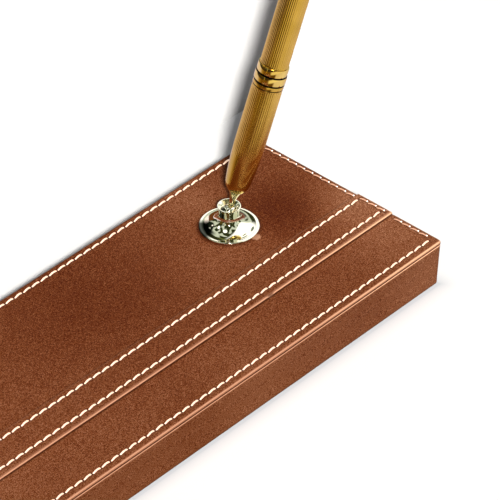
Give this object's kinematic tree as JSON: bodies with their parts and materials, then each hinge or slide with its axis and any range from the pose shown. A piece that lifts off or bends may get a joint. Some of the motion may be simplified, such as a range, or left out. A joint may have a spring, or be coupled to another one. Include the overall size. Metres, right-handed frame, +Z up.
{
  "type": "pen stand",
  "caption": "Stitched leather desk base with a raised band and brass swivel holders, each carrying a fluted twist pen that leans outwards.",
  "frame": {"origin": "on the desk, under the middle of the base", "axes": "+X along the base to the right, +Y to the back edge, +Z up"},
  "size_m": [0.254, 0.1016, 0.1537],
  "materials": {
    "leather": "satin",
    "core_board": "matte",
    "felt": "matte",
    "polished_brass": "polished",
    "gold_bright": "polished",
    "gold_fluted": "satin",
    "steel": "satin",
    "nylon": "matte",
    "inner_brass": "satin",
    "inner_plastic": "matte",
    "refill_tube": "satin"
  },
  "bodies": {
    "stand": {"base_core": "core_board", "wall_leather": "leather", "top_leather": "leather", "band_leather": "leather", "felt_pad": "felt", "holder_flange_right": "polished_brass", "spring_washer_right": "steel", "holder_stud_right": "steel", "holder_washer_right": "steel", "holder_nut_right": "steel", "holder_flange_left": "polished_brass", "spring_washer_left": "steel", "holder_stud_left": "steel", "holder_washer_left": "steel", "holder_nut_left": "steel"},
    "swivel_right": {"ball_seat_right": "nylon"},
    "ball_right": {"swivel_ball_right": "polished_brass"},
    "pen_right": {"pen_tip_right": "gold_bright", "lower_barrel_right": "gold_fluted", "twist_sleeve_right": "inner_brass"},
    "pen_top_right": {"centre_band_right": "gold_bright", "upper_barrel_right": "gold_fluted", "end_cap_right": "gold_bright", "twist_driver_right": "inner_plastic"},
    "writing_insert_right": {"refill_right": "refill_tube", "refill_carrier_right": "inner_plastic"},
    "swivel_left": {"ball_seat_left": "nylon"},
    "ball_left": {"swivel_ball_left": "polished_brass"},
    "pen_left": {"pen_tip_left": "gold_bright", "lower_barrel_left": "gold_fluted", "twist_sleeve_left": "inner_brass"},
    "pen_top_left": {"centre_band_left": "gold_bright", "upper_barrel_left": "gold_fluted", "end_cap_left": "gold_bright", "twist_driver_left": "inner_plastic"},
    "writing_insert_left": {"refill_left": "refill_tube", "refill_carrier_left": "inner_plastic"}
  },
  "joints": [
    {"name": "swivel_spin_right", "type": "hinge", "parent": "stand", "child": "swivel_right", "pos_m": [0.076, 0.0174, 0.0298], "axis": [0, 0, 1], "continuous": true},
    {"name": "swivel_tilt_right", "type": "hinge", "parent": "swivel_right", "child": "ball_right", "pos_m": [0.076, 0.0174, 0.0298], "axis": [0.3827, 0.9239, 0], "range_deg": [-43, 10]},
    {"name": "pen_lift_right", "type": "slide", "parent": "ball_right", "child": "pen_right", "axis": [0.2624, -0.1087, 0.9588], "range_m": [0, 0.03]},
    {"name": "pen_twist_right", "type": "hinge", "parent": "pen_right", "child": "pen_top_right", "pos_m": [0.076, 0.0174, 0.0298], "axis": [0.2624, -0.1087, 0.9588], "range_deg": [0, 180]},
    {"name": "refill_advance_right", "type": "slide", "parent": "pen_right", "child": "writing_insert_right", "axis": [-0.2624, 0.1087, -0.9588], "range_m": [0, 0.0024]},
    {"name": "swivel_spin_left", "type": "hinge", "parent": "stand", "child": "swivel_left", "pos_m": [-0.076, 0.0174, 0.0298], "axis": [0, 0, 1], "continuous": true},
    {"name": "swivel_tilt_left", "type": "hinge", "parent": "swivel_left", "child": "ball_left", "pos_m": [-0.076, 0.0174, 0.0298], "axis": [0.3827, -0.9239, 0], "range_deg": [-43, 10]},
    {"name": "pen_lift_left", "type": "slide", "parent": "ball_left", "child": "pen_left", "axis": [-0.2624, -0.1087, 0.9588], "range_m": [0, 0.03]},
    {"name": "pen_twist_left", "type": "hinge", "parent": "pen_left", "child": "pen_top_left", "pos_m": [-0.076, 0.0174, 0.0298], "axis": [-0.2624, -0.1087, 0.9588], "range_deg": [0, 180]},
    {"name": "refill_advance_left", "type": "slide", "parent": "pen_left", "child": "writing_insert_left", "axis": [0.2624, 0.1087, -0.9588], "range_m": [0, 0.0024]}
  ],
  "couplings": [
    {"joint": "refill_advance_right", "follows": "pen_twist_right", "m_per_rad": 0.00076394},
    {"joint": "refill_advance_left", "follows": "pen_twist_left", "m_per_rad": 0.00076394}
  ]
}
